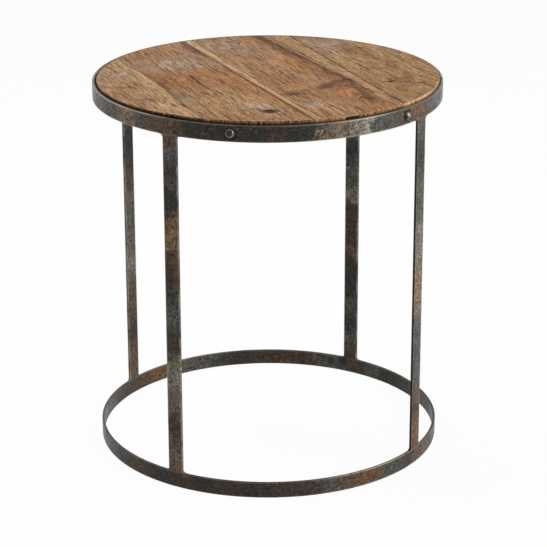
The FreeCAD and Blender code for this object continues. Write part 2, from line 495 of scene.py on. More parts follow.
def ontoHoop(s, angle, depth, height):
    # depth runs from the bar's middle outwards; the outer face takes the rolled bar's unevenness
    n = s.sizes
    turnX, turnY = angle.maths("SINE"), 0.0 - angle.maths("COSINE")
    outside = s.join(turnX * n["Radius"], turnY * n["Radius"], height)
    slow = s.noise(s.stretch(outside, (24, 24, 24)), 1)
    fast = s.noise(s.stretch(outside, (120, 120, 120)), 1)
    uneven = (slow - 0.5) * n["Dent"] * 2.0 + (fast - 0.5) * n["Pit"] * 2.0
    share = (depth / n["Thickness"] + 0.5).maths("MAXIMUM", 0.0)
    radius = n["Radius"] - n["Thickness"] * 0.5 + depth + uneven * share
    return s.join(turnX * radius, turnY * radius, height)


def barGrid(s, rows):
    columns = s.sizes["Section Points"] + 1.0
    counts = {"Size X": 1.0, "Size Y": 1.0, "Vertices X": columns, "Vertices Y": rows}
    grid = s.node("GeometryNodeMeshGrid", {}, counts)
    around, along = s.split(grid.twin("UV Map"))[:2]
    return grid, around, along


def closeBar(s, grid, place, px, py, halfThick, halfWide):
    fromEdge = halfWide - py.maths("ABSOLUTE") + halfThick - px.maths("ABSOLUTE")
    marked = s.mark(grid, "edgeWear", s.ease(fromEdge, s.sizes["Worn Edge"], 0.2 * mm))
    moved = s.position(marked, place)
    s.close(s.node("GeometryNodeMergeByDistance", {}, {"Geometry": moved, "Distance": 2e-6}))


def hoopShape():
    s = Shape("hoopBar", hoop)
    n = s.sizes
    grid, around, along = barGrid(s, n["Segments"] + 1.0)
    angle = along * fullTurn
    halfThick, halfWide = n["Thickness"] * 0.5, (n["High"] - n["Low"]) * 0.5
    px, py = barOutline(s, around, halfThick, halfWide)
    # the welded edge stays sharp where a leg meets it
    away = (angle - n["First Leg"]).maths("PINGPONG", math.pi / 4) * n["Radius"]
    free = s.ease(away, n["Weld Half Width"] - 1.5 * mm, n["Weld Half Width"] + 4 * mm)
    welded = (py * n["Welded Edge"]).maths("GREATER_THAN", 0.0)
    worn = s.noise(s.join(angle * 14.0, py * 90.0, 0.0), 2) * 0.7 + 0.65
    ease = (n["Ease"] * worn * (1.0 - (1.0 - free) * welded)).maths("MAXIMUM", n["Sharpest Ease"])
    ex, ey = easeCorners(px, py, halfThick, halfWide, ease)
    place = ontoHoop(s, angle, ex, (n["High"] + n["Low"]) * 0.5 + ey)
    closeBar(s, grid, place, px, py, halfThick, halfWide)
    return s


def legShape():
    s = Shape("legBar", leg)
    n = s.sizes
    grid, around, along = barGrid(s, n["Rows"])
    # the first and last rows are end caps, and the rows bunch towards the welds
    step = 1.0 / (n["Rows"] - 1.0)
    run = ((along - step) / (1.0 - step * 2.0)).maths("MAXIMUM", 0.0).maths("MINIMUM", 1.0)
    capped = ((along - 0.5).maths("ABSOLUTE") * 2.0).maths("GREATER_THAN", 1.0 - step)
    bunched = run * 0.06 + s.ease(run, 0.0, 1.0) * 0.94
    height = n["Low"] + (n["High"] - n["Low"]) * bunched
    reach = n["Fillet"]
    near = (height - n["Low"]).maths("MINIMUM", n["High"] - height).maths("MINIMUM", reach)
    flare = reach - (reach * reach - (reach - near) * (reach - near)).maths("MAXIMUM", 0.0) ** 0.5
    halfThick, halfWide = n["Thickness"] * 0.5, n["Width"] * 0.5 + flare
    px, py = barOutline(s, around, halfThick, halfWide)
    worn = s.noise(s.join(height * 40.0, n["Angle"] * 9.0, py * 60.0), 2) * 0.7 + 0.65
    ease = (n["Ease"] * worn * s.ease(near, 0.0, reach * 0.9)).maths("MAXIMUM", n["Sharpest Ease"])
    ex, ey = easeCorners(px, py, halfThick, halfWide, ease)
    spread = 1.0 - capped
    place = ontoHoop(s, n["Angle"] + ey * spread / n["Radius"], ex * spread, height)
    closeBar(s, grid, place, px, py, halfThick, halfWide)
    return s


hoopTree, legTree = hoopShape(), legShape()
upperBar = hoopTree.grow("upper_hoop_bar", dict(hoop, Finish=ironFinishes["upper"]))
dressPiece(upperBar, ["upper_hoop"])
lowerSizes = {"Low": 0.0, "High": leg["Low"], "Welded Edge": 1.0, "Finish": ironFinishes["lower"]}
lowerBar = hoopTree.grow("lower_hoop_bar", dict(hoop, **lowerSizes))
dressPiece(lowerBar, ["lower_hoop"])
for legPlace, degrees in legAngles.items():
    sizes = dict(leg, Angle=math.radians(degrees), Finish=ironFinishes[legPlace])
    legBar = legTree.grow("leg_" + legPlace + "_bar", sizes)
    dressPiece(legBar, ["leg_" + legPlace, "upper_leg_welds", "lower_leg_welds"])


# Domed rivet heads on the upper hoop, in two pairs
rivet = {
    "Count": 4,
    "First Angle": math.radians(rivetPair[0]),
    "Pair Spacing": math.radians(rivetPair[1] - rivetPair[0]),
    "Hoop Radius": hoopRadius * mm,
    "Height": rivetHeight * mm,
    "Head Radius": 7.0 * mm,
    "Head Height": 4.5 * mm,
    "Sink": 0.35 * mm,
    "Hammered": 0.35 * mm,
}


def rivetShape():
    s = Shape("rivetSet", rivet)
    n = s.sizes
    index = s.node("GeometryNodeInputIndex", {}, {})
    angle = n["First Angle"] + index.maths("MODULO", 2.0) * n["Pair Spacing"]
    angle = angle + (index / 2.0).maths("FLOOR") * math.pi
    outX, outY = angle.maths("SINE"), 0.0 - angle.maths("COSINE")
    place = s.join(outX * n["Hoop Radius"], outY * n["Hoop Radius"], n["Height"])
    points = s.node("GeometryNodePoints", {}, {"Count": n["Count"], "Position": place})
    ball = s.node("GeometryNodeMeshUVSphere", {}, {"Segments": 40, "Rings": 24, "Radius": 1.0})
    x, y, z = s.split(s.node("GeometryNodeInputPosition", {}, {}))
    lifted = z.maths("MAXIMUM", 0.0) * n["Head Height"] - n["Sink"]
    # the head's rim, which the finish lightens with a painted reflection
    marked = s.mark(ball, "edgeWear", s.ease((x * x + y * y) ** 0.5, 0.5, 0.95))
    dome = s.position(marked, s.join(x * n["Head Radius"], y * n["Head Radius"], lifted))
    outwards = {"Vector": s.join(outX, outY, 0.0)}
    facing = s.node("FunctionNodeAlignRotationToVector", {"axis": "Z"}, outwards)
    values = {"Points": points, "Instance": dome, "Rotation": facing}
    heads = s.node("GeometryNodeInstanceOnPoints", {}, values)
    real = s.node("GeometryNodeRealizeInstances", {}, {"Geometry": heads})
    lumps = s.noise(s.stretch(s.node("GeometryNodeInputPosition", {}, {}), (170, 170, 170)), 2)
    push = (lumps - 0.5) * n["Hammered"] * 2.0
    offset = s.join(*[part * push for part in s.split(s.node("GeometryNodeInputNormal", {}, {}))])
    s.close(s.node("GeometryNodeSetPosition", {}, {"Geometry": real, "Offset": offset}))
    return s


rivetHeads = rivetShape().grow("hoop_rivet_heads", dict(rivet, Finish=ironFinishes["rivet"]))
dressPiece(rivetHeads, ["hoop_rivets"])


# Soft lattice noise for shaping the boards, from -1 to 1
def latticeValue(i, j, seed):
    n = (i * 374761393 + j * 668265263 + seed * 974711) & 0xFFFFFFFF
    n = ((n ^ (n >> 13)) * 1274126177) & 0xFFFFFFFF
    return ((n ^ (n >> 16)) & 0xFFFF) / 32767.5 - 1.0


def softNoise(u, v, seed):
    u, v = np.broadcast_arrays(np.asarray(u, float), np.asarray(v, float))
    i, j = np.floor(u).astype(np.int64), np.floor(v).astype(np.int64)
    fu, fv = u - i, v - j
    fu, fv = fu * fu * (3 - 2 * fu), fv * fv * (3 - 2 * fv)
    low = latticeValue(i, j, seed) * (1 - fu) + latticeValue(i + 1, j, seed) * fu
    high = latticeValue(i, j + 1, seed) * (1 - fu) + latticeValue(i + 1, j + 1, seed) * fu
    return low * (1 - fv) + high * fv


def smoothStep(low, high, value):
    t = np.clip((value - low) / (high - low), 0, 1)
    return t * t * (3 - 2 * t)


# Boards: x runs across the grain and y along it, in millimetres from the table's centre
top = {
    "radius": float(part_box("plank_right")[1][0]) / mm,
    "height": float(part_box("plank_mid_right")[1][2]) / mm,
    "thickness": 22.0,
    "turn": math.radians(9.8),
    "seams": (-188.0, -38.0, 130.0),
    "seamGap": (0.04, 0.15, 0.15),  # half of each gap, the left seam is closed tight
    "seamWear": (0.2, 0.8, 0.8),
    "slope": (-0.0023, -0.0095),    # the worn top falls a little towards the back
    "columnStep": 0.85,
    "arcStep": 1.5,
    "rowStep": 2.1,
    "arrisTurns": (18, 36, 54, 72, 90),
}
wood = {
    "cream": (0.820, 0.560, 0.305),
    "straw": (0.700, 0.462, 0.248),
    "tan": (0.610, 0.378, 0.198),
    "fawn": (0.510, 0.292, 0.150),
    "brown": (0.430, 0.222, 0.105),
    "chestnut": (0.330, 0.155, 0.066),
    "orange": (0.560, 0.248, 0.085),
    "umber": (0.160, 0.074, 0.034),
    "purple": (0.125, 0.068, 0.052),
    "grey": (0.430, 0.295, 0.200),
    "ash": (0.720, 0.585, 0.455),
    "olive": (0.440, 0.265, 0.120),
    "moss": (0.240, 0.138, 0.058),
    "hole": (0.020, 0.012, 0.008),
}
# noise in the wood: size across, along and into the board in mm, then detail, roughness and distortion
grainLayers = {
    "bend": ((95, 330, 0), 2),
    "ragged": ((11, 40, 0), 4, 0.62),
    "broad": ((20, 620, 40), 3, 0.55),
    "streak": ((5, 240, 9), 3, 0.6),
    "fine": ((2.2, 52, 3), 2, 0.6),
    "fleck": ((1.2, 11, 2), 2, 0.6),
    "blot": ((9, 17, 0), 4, 0.66),
    "tint": ((20, 34, 0), 4, 0.62, 0.3),
    "smudge": ((34, 24, 0), 4, 0.62, 0.5),
    "broken": ((4.5, 18, 0), 3, 0.65),
    "split": ((3.4, 60, 16), 3, 0.68),
}
# what growth lines, pores and blots multiply the colour by
grainTints = {
    "rings": (0.36, 0.28, 0.23),
    "fine": (0.36, 0.29, 0.24),
    "fleck": (0.34, 0.27, 0.22),
    "blot": (0.46, 0.38, 0.33),
}
# heights of the boards' relief in mm, and how softly stains end along the grain
relief = {"fine": 0.07, "coarse": 0.10, "swell": 0.25, "nail": 1.3, "knotRise": 0.35, "knotDip": 0.3}
spanFade = 20
rimFade = 14


# Stains, heart streaks and sapwood: places are (across, along), paths are (along, across),
# and a sweep runs across the grain, so its path is (across, along)
def spot(x, y, wide, long, colour, share, rough=1.6, firm=False):
    return dict(at=(x, y, 0), size=(wide, long, 0), colour=colour, share=share, rough=rough, firm=firm)


def band(path, half, soft, colour, share, wander=3.0, span=None, firm=False):
    return dict(path=path, half=half, soft=soft, colour=colour, share=share, wander=wander, span=span,
                firm=firm)


def sweep(path, half, soft, colour, share, fade, wander=3.0, firm=False):
    return dict(band(path, half, soft, colour, share, wander, firm=firm), fade=fade)


def strip(path, side, soft, colour, share, smooth):
    return dict(path=path, side=side, soft=soft, colour=colour, share=share, smooth=smooth)


# cracks are (across, start, end, width, depth), nail holes (across, along, radius), knots (across, along,
# half width, half length), swirls the same with their pull, and rim chips (across, half width, depth)
boards = {}
boards["left"] = {
    "level": -1.3, "seed": 11, "chip": 0.9, "rimWear": 3.6, "bend": 16,
    "lines": [(-270, 0.5), (-190, 0.5)], "period": 3.3, "warmth": 0.25, "bleach": 0.7, "arris": 0.1,
    "rimDirt": 0.95, "smudge": (0.85, "grey"),
    "tones": [(0.4, "brown"), (0.46, "fawn"), (0.53, "tan"), (0.61, "straw")],
    "ends": [(0.36, "hole"), (0.52, "umber"), (0.7, "chestnut")],
    "cracks": [(-205, -120, 60, 0.9, 0.7), (-232, -70, 90, 0.8, 0.5), (-216, 20, 130, 0.8, 0.6),
               (-252, 60, 95, 1.2, 1.0)],
    "nails": [(-192, 28, 2.2), (-198, -67, 2.2), (-207, -78, 1.6)],
    "bands": [
        band([(-270, -191), (270, -189)], 1.6, (5, 2), "straw", 0.7),
    ],
    "patches": [
        spot(-252, -20, 20, 30, "brown", 0.75), spot(-243, -78, 14, 36, "brown", 0.7),
        spot(-226, 95, 26, 36, "grey", 0.6), spot(-236, 150, 14, 16, "grey", 0.7),
        spot(-218, 100, 22, 12, "ash", 0.5), spot(-212, -112, 14, 22, "ash", 0.35),
        spot(-234, -4, 14, 16, "brown", 0.8), spot(-215, 118, 15, 9, "brown", 0.8),
        spot(-212, 84, 22, 5, "brown", 0.7), spot(-224, 9, 9, 12, "chestnut", 0.7),
        spot(-203, -130, 14, 60, "straw", 0.7),
    ],
    "sweeps": [
        sweep([(-270, 36), (-240, 24), (-206, 20)], 4, (12, 7), "chestnut", 0.8, 18),
        sweep([(-266, -50), (-236, -60), (-205, -66)], 3, (12, 8), "chestnut", 0.7, 18),
    ],
}
leftSapwood = [(-193, -191), (-155, -191), (-66, -187), (1, -182), (89, -182), (150, -186), (191, -185)]
boards["mid_left"] = {
    "level": -1.0, "seed": 23, "chip": 1.2, "rimWear": 2.8, "bend": 9, "lines": [(-120, 1.0), (-90, 0.5)],
    "period": 3.2, "warmth": 0.5, "bleach": 0.45, "arris": 0.3, "rimDirt": 0.85, "smudge": (0.5, "grey"),
    "tones": [(0.4, "chestnut"), (0.47, "brown"), (0.53, "fawn"), (0.6, "straw")],
    "ends": [(0.34, "hole"), (0.45, "umber"), (0.55, "chestnut"), (0.68, "brown")],
    "cracks": [(-116, -60, 52, 1.3, 1.0), (-123, -215, -150, 0.9, 0.7), (-70, 40, 180, 0.8, 0.6),
               (-150, -120, 40, 0.8, 0.5), (-60, -180, -60, 0.8, 0.5)],
    "nails": [(-170, 16, 2.2), (-113, 95, 2.4), (-182, -167, 2.2), (-142, 126, 2.2)],
    "knots": [(-83, -203, 11, 8)],
    "swirls": [(-83, -203, 26, 60, 0.9)],
    "chips": [(-110, 6, 1.4), (-84, 3, 1.1), (-62, 3, 0.9)],
    "edges": [
        strip(leftSapwood, 1, 1.0, "straw", 0.9, 0.3),
    ],
    "bands": [
        band([(along, across + 2) for along, across in leftSapwood], 0.5, (0.6, 2.5), "umber", 0.7),
        band([(-60, -176), (90, -174)], 4, (3, 12), "chestnut", 0.75, span=(-20, 80)),
        band([(-40, -122), (0, -118), (40, -115), (66, -113)], 1.4, (1.5, 2.5), "umber", 0.9,
             span=(-25, 60)),
        band([(-250, -40), (250, -42)], 1.2, (5, 1), "umber", 0.8, firm=True),
    ],
    "patches": [
        spot(-130, 205, 44, 34, "brown", 0.7), spot(-118, 128, 15, 34, "ash", 0.65),
        spot(-132, 116, 24, 12, "ash", 0.45), spot(-95, 112, 7, 14, "cream", 0.8),
        spot(-112, 30, 70, 62, "brown", 0.7, rough=1.0), spot(-90, 20, 40, 50, "orange", 0.4),
        spot(-165, 50, 20, 44, "chestnut", 0.75), spot(-150, 52, 52, 50, "orange", 0.4, rough=0.8),
        spot(-56, -10, 14, 60, "orange", 0.45), spot(-146, 60, 18, 30, "fawn", 0.5),
        spot(-109, 74, 8, 12, "tan", 0.8), spot(-174, -90, 14, 70, "grey", 0.9),
        spot(-120, -100, 34, 60, "tan", 0.35), spot(-80, -140, 30, 34, "straw", 0.45),
        spot(-88, -165, 20, 24, "ash", 0.55), spot(-49, 212, 9, 64, "purple", 0.8),
        spot(-60, 130, 14, 40, "chestnut", 0.5), spot(-45, -100, 22, 60, "orange", 0.3),
        spot(-108, -212, 18, 22, "orange", 0.4), spot(-132, -145, 40, 60, "straw", 0.35),
        spot(-70, -178, 24, 20, "straw", 0.5), spot(-178, -150, 12, 46, "straw", 0.45),
        spot(-108, -78, 18, 16, "tan", 0.45), spot(-118, -28, 28, 15, "chestnut", 0.6),
        spot(-83, -203, 26, 26, "ash", 0.35), spot(-83, -203, 15, 14, "purple", 0.98, firm=True),
        spot(-82, -203, 10, 9, "hole", 0.9, firm=True),
    ],
    "sweeps": [
        sweep([(-192, 102), (-183, 105), (-162, 113), (-112, 115), (-86, 114), (-45, 108), (-30, 106)],
              22, (1.5, 50), "grey", 0.45, 6, wander=3, firm=True),
        sweep([(-152, 114), (-112, 115), (-86, 114), (-64, 110)], 22, (1.5, 30), "ash", 0.22, 12,
              wander=3, firm=True),
    ],
}
boards["mid_right"] = {
    "level": -1.1, "seed": 37, "chip": 0.55, "rimWear": 1.5, "bend": 10, "lines": [(60, 0.6), (80, 0.9)],
    "period": 3.3, "warmth": 0.45, "bleach": 0.65, "arris": 0.5, "lean": (0, 0.0375), "rimDirt": 0.8,
    "smudge": (0.6, "grey"),
    "tones": [(0.4, "umber"), (0.47, "brown"), (0.53, "fawn"), (0.6, "straw")],
    "ends": [(0.36, "umber"), (0.46, "chestnut"), (0.57, "brown"), (0.7, "tan")],
    "cracks": [(26, 78, 142, 1.2, 1.0), (20, -190, -90, 0.9, 0.7), (60, -40, 120, 0.8, 0.5),
               (75, -240, -150, 0.9, 0.8)],
    "nails": [(36, 219, 2.4), (38, 48, 2.4), (33, 141, 1.8)],
    "knots": [(104, -82, 9, 6)],
    "swirls": [(106, -86, 30, 52, 1.2)],
    "chips": [(26, 14, 2.6), (46, 2, 1.6), (54, 1.5, 1.4), (69, 2, 1.6), (81, 1.5, 1.4), (98, 1.5, 1.3)],
    "flames": [{"at": (80, -225), "grow": (1.0, 0.24), "over": (80, -150), "size": (44, 84)}],
    "edges": [
        strip([(-255, -28), (-160, -31), (45, -29), (165, -28), (253, -27)], 1, 1.0, "straw", 0.85, 0.28),
        strip([(-255, 108), (-100, 111), (60, 111), (253, 112)], -1, 2.5, "tan", 0.7, 0.1),
    ],
    "bands": [
        band([(-260, -31), (-57, -28), (165, -26), (253, -25)], 0.6, (0.8, 1.4), "umber", 0.6),
        band([(-260, 13), (-120, 12)], 0.8, (1.2, 1.2), "straw", 0.8, wander=1.5, span=(-275, -145)),
        band([(-250, 76), (-75, 84), (92, 72), (215, 70)], 14, (22, 12), "orange", 0.3),
        band([(40, 98), (110, 95), (170, 93), (250, 91)], 5, (10, 3.5), "purple", 0.85, wander=4,
             span=(112, 290)),
        band([(-75, 108), (-30, 104), (26, 101), (92, 99), (158, 96)], 1.8, (6, 2.5), "purple", 0.95,
             wander=2, span=(-70, 125)),
        band([(-75, 106), (26, 99), (92, 97), (158, 94), (215, 89)], 3, (26, 3), "umber", 0.5,
             span=(-70, 290)),
        band([(-75, 113), (0, 110), (92, 108), (250, 106)], 0.4, (0.8, 0.8), "umber", 0.7, wander=1.5),
        band([(-245, 83), (-208, 88), (-167, 94), (-120, 101), (-70, 107)], 4, (7, 5), "purple", 0.75,
             wander=7, span=(-212, -76), firm=True),
        band([(-245, 92), (-208, 97), (-167, 102), (-120, 107)], 3, (5, 4), "chestnut", 0.8, wander=7,
             span=(-235, -100)),
    ],
    "patches": [
        spot(72, 45, 26, 62, "orange", 0.5), spot(24, 195, 54, 70, "grey", 0.75),
        spot(-4, 70, 26, 70, "fawn", 0.5), spot(36, 219, 7, 6, "chestnut", 0.9),
        spot(14, 188, 10, 7, "chestnut", 0.85), spot(-6, -118, 27, 15, "chestnut", 0.9),
        spot(-12, -124, 18, 11, "umber", 0.7, firm=True), spot(-10, -15, 15, 44, "chestnut", 0.6),
        spot(16, -78, 18, 20, "orange", 0.5), spot(65, -118, 15, 18, "chestnut", 0.5),
        spot(120, 34, 9, 44, "straw", 0.7), spot(88, -40, 15, 30, "chestnut", 0.85),
        spot(-4, 215, 50, 30, "ash", 0.3), spot(20, -112, 12, 9, "chestnut", 0.7),
        spot(-4, -202, 16, 24, "ash", 0.55), spot(74, -165, 27, 58, "orange", 0.6),
        spot(88, -206, 13, 30, "purple", 0.85), spot(76, -236, 30, 18, "brown", 0.7),
        spot(86, -108, 26, 22, "chestnut", 0.6),
        spot(42, -112, 11, 7, "umber", 0.7, rough=1.2, firm=True),
        spot(55, -104, 16, 11, "purple", 0.9, rough=1.2, firm=True),
        spot(72, -94, 22, 13, "purple", 0.9, rough=1.2, firm=True),
        spot(92, -83, 21, 16, "purple", 0.95, rough=1.2, firm=True),
        spot(106, -80, 9, 20, "purple", 0.95, rough=0.8, firm=True),
    ],
}
boards["right"] = {
    "level": -0.9, "seed": 53, "chip": 0.5, "rimWear": 1.6, "bend": 9,
    "lines": [(130, 0.65), (270, 0.65)], "period": 3.3, "warmth": 0.3, "bleach": 0.6, "arris": 0.5,
    "lean": (0.0375, 0), "rimDirt": 0.7, "rimStains": [(-196, "brown", 0.8)], "smudge": (0.6, "moss"),
    "tones": [(0.4, "moss"), (0.47, "olive"), (0.53, "fawn"), (0.6, "tan")],
    "ends": [(0.31, "chestnut"), (0.4, "brown"), (0.48, "straw"), (0.58, "cream")],
    "cracks": [(160, -60, 70, 0.9, 0.6), (195, -40, 110, 0.8, 0.5), (176, 60, 190, 0.9, 0.6)],
    "nails": [(223, 9, 1.8), (164, -116, 2.8), (177, -126, 1.6), (194, -138, 1.8)],
    "chips": [(157, 3, 1.6)],
    "bands": [
        band([(-250, 121), (250, 140)], 1.2, (1, 2.2), "umber", 0.9, wander=1.5),
        band([(-160, 226), (160, 230)], 7, (9, 9), "tan", 0.5),
    ],
    "patches": [
        spot(164, -116, 12, 7, "umber", 0.9, firm=True), spot(184, -128, 10, 5, "umber", 0.8, firm=True),
        spot(205, -141, 11, 5, "umber", 0.75, firm=True), spot(175, 160, 50, 68, "grey", 0.85),
        spot(200, 100, 26, 50, "moss", 0.5), spot(164, 60, 16, 110, "straw", 0.4),
        spot(240, -25, 20, 44, "moss", 0.5), spot(160, 150, 34, 60, "ash", 0.25),
        spot(150, -185, 30, 50, "olive", 0.7), spot(252, 0, 14, 90, "tan", 0.6),
    ],
    "sweeps": [
        sweep([(168, -118), (190, -134), (214, -150)], 1.5, (4, 3), "umber", 0.85, 8, wander=14),
    ],
}


def bandMask(f, across, along, ragged, stain):
    away = across - f.path(along, stain["path"]) + (ragged - 0.5) * stain["wander"]
    half, (before, after) = stain["half"], stain["soft"]
    inside = f.ease(away, -half - before, -half) * f.ease(away, half + after, half) * stain["share"]
    if stain["span"]:
        start, end = stain["span"]
        inside = inside * f.ease(along, start - spanFade, start + spanFade)
        inside = inside * f.ease(along, end + spanFade, end - spanFade)
    return inside


def sweepMask(f, across, along, ragged, stain):
    start, end, fade = stain["path"][0][0], stain["path"][-1][0], stain["fade"]
    inside = bandMask(f, along, across, ragged, stain)
    return inside * f.ease(across, start, start + fade) * f.ease(across, end, end - fade)


def spotMask(f, grain, ragged, stain):
    away = f.away(grain, stain["at"], stain["size"]) + (ragged - 0.5) * stain["rough"]
    return f.ease(away, 1.2, 0.45) * stain["share"]


def boardFinish(name, look):
    f = Finish(name)
    seed = look["seed"]
    shift = (seed * 1.7, seed * 0.9, seed * 2.3)
    grain = f.place(-top["turn"])
    across, along, up = f.split(grain)
    # grain lines bend along the board and sweep round the knots
    line = across + (f.layer(grain, grainLayers["bend"], shift) - 0.5) * look["bend"]
    for x, y, sizeX, sizeY, pull in look.get("swirls", []):
        away = f.away(grain, (x, y, 0), (sizeX, sizeY, 0))
        near = 1.0 / (away * away + 1.0)
        line = line - (across - x) * near * near * pull
    ragged = f.layer(f.join(line, along, up), grainLayers["ragged"], shift)
    for flame in look.get("flames", []):
        x, y = flame["at"]
        growX, growY = flame["grow"]
        arches = f.length(f.stretch(grain, (growX, growY, 0), (-x * growX, -y * growY, 0)))
        mask = spotMask(f, grain, ragged, spot(*flame["over"], *flame["size"], None, 1.0))
        line = line * (1.0 - mask) + (arches + x) * mask
    lay = f.join(line, along, up)
    broad, streak, fine, fleck, broken, split = [
        f.layer(lay, grainLayers[kind], shift)
        for kind in ("broad", "streak", "fine", "fleck", "broken", "split")]
    blot = f.layer(lay, grainLayers["blot"], (seed, 4.2, 0))
    tint = f.layer(lay, grainLayers["tint"], (seed, 9.1, 3.3))
    smudge = f.layer(grain, grainLayers["smudge"], shift)
    tone = broad * 0.34 + streak * 0.26 + blot * 0.40
    colour = f.ramp(tone, [(at, wood[kind]) for at, kind in look["tones"]])
    smudgeShare, smudgeColour = look["smudge"]
    # tints, stains and sapwood, in the order in which they cover each other
    coats = [
        (f.ease(tint, 0.52, 0.66) * look["warmth"], "orange"),
        (f.ease(tint, 0.48, 0.34) * look["bleach"], "grey"),
        (f.ease(smudge, 0.50, 0.66) * smudgeShare, smudgeColour),
        (f.ease(fine + fleck, 0.94, 0.74) * 0.50, "cream"),
        (f.ease(along, 20, 220) * 0.28, "grey"),                        # painted sheen: greyer towards the back, seen at a grazing angle
        (f.ease(along, 90, -60) * look["warmth"] * 0.24, "orange"),     # warmer towards the front
    ]
    stains = [(stain, spotMask(f, grain, ragged, stain)) for stain in look["patches"]]
    stains += [(stain, bandMask(f, across, along, ragged, stain)) for stain in look["bands"]]
    stains += [(stain, sweepMask(f, across, along, ragged, stain)) for stain in look.get("sweeps", [])]
    gaps = f.ease(broken, 0.36, 0.56, 0.45, 1.0)
    for stain, mask in stains:
        coats.append((mask if stain["firm"] else mask * gaps, stain["colour"]))
    strips = []
    for stain in look.get("edges", []):
        away = (across - f.path(along, stain["path"]) + (ragged - 0.5) * 2.0) * stain["side"]
        strips.append((stain, f.ease(away, stain["soft"], -stain["soft"])))
        coats.append((strips[-1][1] * stain["share"], stain["colour"]))
    colour = f.paint(colour, coats, wood)
    # growth lines, pores and blots
    rings = (line * (fullTurn / look["period"]) + (streak - 0.5) * 7.0).maths("SINE") * 0.5 + 0.5
    ringShare = f.ease(ragged + broad * 0.5, 0.60, 0.86) * f.path(across, look["lines"])
    colour = f.paint(colour, [
        (rings * rings * ringShare * 0.95, "rings"),
        (f.ease(fine, 0.49, 0.64) * 0.90, "fine"),
        (f.ease(fleck, 0.53, 0.67) * 0.85, "fleck"),
        (f.ease(blot, 0.52, 0.66) * 0.62, "blot"),
    ], grainTints, "MULTIPLY")
    # strips of sapwood along the seams stay smoother
    smooth = f.ease(fleck, 0.68, 0.50, 0.5, 1.0)
    coats = [(mask * smooth * stain["smooth"], stain["colour"]) for stain, mask in strips]
    colour = f.paint(colour, coats, wood)
    # cut ends round the rim, darker towards the hoop: painted shade of the gap by the hoop, with some
    # soiling; the left-hand boards' darker end tones also carry painted shade
    rim = f.attribute("rim")
    ends = f.ramp(split, [(at, wood[kind]) for at, kind in look["ends"]])
    gapShadeAndDirt = f.ease(up, top["height"] - 0.5, top["height"] - 4.5) * look["rimDirt"]
    ends = f.mix(gapShadeAndDirt, ends, wood["hole"])
    # the arris is lightened towards straw: worn lighter, and on the right-hand boards, which face the
    # light, also a painted highlight
    colour = f.mix(f.ease(rim, 0.02, 0.2) * look["arris"], colour, wood["straw"])
    colour = f.mix(f.ease(rim, 0.30, 0.75), colour, ends)
    coats = []
    for start, kind, share in look.get("rimStains", []):
        fromStart = f.ease(along, start - rimFade, start + rimFade)
        coats.append((f.ease(rim, 0.05, 0.4) * fromStart * share, kind))
    # cracks, nail holes and deep rim chips are painted near-black, darker with depth: painted shade
    coats.append((f.ease(f.attribute("hollow"), 0.05, 0.6) * 0.92, "hole"))
    coats.append((f.ease(up, top["height"] - 20, top["height"] - 21.5) * 0.6, "grey"))
    height = rings * ringShare * 0.5 + fine * 0.9 + streak * 0.6 + fleck * 0.4 + split * rim * 1.2
    return f.surface({
        "Base Color": f.paint(colour, coats, wood),
        "Roughness": 0.76 - tone * 0.24,
        "Specular IOR Level": 0.06,
        "Normal": f.bump(height, 0.5, 0.8 * mm),
    })


def boardRelief(x, y, look):
    seed = look["seed"]
    bend = 9 * softNoise(x / 80, y / 300, seed)
    grain = relief["fine"] * softNoise((x + bend) / 1.9, y / 110, seed + 1)
    grain += relief["coarse"] * softNoise((x + bend) / 4.3, y / 190, seed + 2)
    lift = look["level"] + grain + relief["swell"] * softNoise(x / 45, y / 120, seed + 3)
    lift += x * top["slope"][0] + y * top["slope"][1]
    hollow = np.zeros_like(x)
    for index, (at, start, end, width, depth) in enumerate(look["cracks"]):
        line = at + 1.6 * softNoise(y / 26, index, seed + 5)
        along = smoothStep(start - 12, start + 16, y) * (1 - smoothStep(end - 16, end + 12, y))
        ragged = 0.55 + 0.45 * softNoise(y / 9, index * 7, seed + 6)
        hollow = np.maximum(hollow, depth * along * ragged * np.clip(1 - np.abs(x - line) / width, 0, 1))
    for at, along, radius in look["nails"]:
        away = np.hypot(x - at, y - along)
        hollow = np.maximum(hollow, relief["nail"] * (1 - smoothStep(radius * 0.5, radius * 1.25, away)))
    for at, along, sizeX, sizeY in look.get("knots", []):
        away = np.hypot((x - at) / sizeX, (y - along) / sizeY)
        lift += relief["knotRise"] * np.exp(-(away - 1.0) ** 2 * 3)
        lift -= relief["knotDip"] * np.exp(-away ** 2 * 4)
    return lift - hollow, hollow


def boardColumns(low, high, inset, wears):
    # even steps, or steps along the arc where a side of the board is the rim
    start, end = low + wears[0], high - wears[1]
    if -top["radius"] < low and high < top["radius"]:
        return np.linspace(start, end, int((end - start) / top["columnStep"]))
    onLeft = low <= -top["radius"]
    turns = np.arccos(np.clip((-end if onLeft else start) / inset, -1, 1))
    columns = inset * np.cos(np.linspace(turns, 0.02, int(turns * inset / top["arcStep"])))
    return -columns[::-1] if onLeft else columns


def rimChips(x, y, outX, outY, look):
    # how far the worn rim is broken back, strongest across the ends of the grain
    seed = look["seed"]
    endGrain = np.abs(outY) / np.hypot(outX, outY)
    onRim = smoothStep(look["rimWear"] * 0.5, look["rimWear"] * 0.8, np.hypot(outX - x, outY - y))
    fibre = np.abs(softNoise(outX / 3.4, outY / 30, seed + 8)) ** 1.5 * endGrain
    notch = np.clip(softNoise(outX / 6.5, outY / 12, seed + 9) - 0.3, 0, 1)
    bite = np.clip(softNoise(outX / 15, outY / 20, seed + 10) - 0.45, 0, 1)
    chip = look["chip"] * (0.7 * fibre + 1.6 * notch + 2.4 * bite)
    broken = np.zeros_like(chip)
    for at, half, depth in look.get("chips", []):
        inside = (outY < 0) * (1 - smoothStep(half * 0.75, half, np.abs(outX - at)))
        broken = np.maximum(broken, depth * inside)
    # the last value is the painted shade of the deepest chips
    return onRim, onRim * np.maximum(chip, broken), onRim * np.clip(broken / 2 - 0.45, 0, 1)


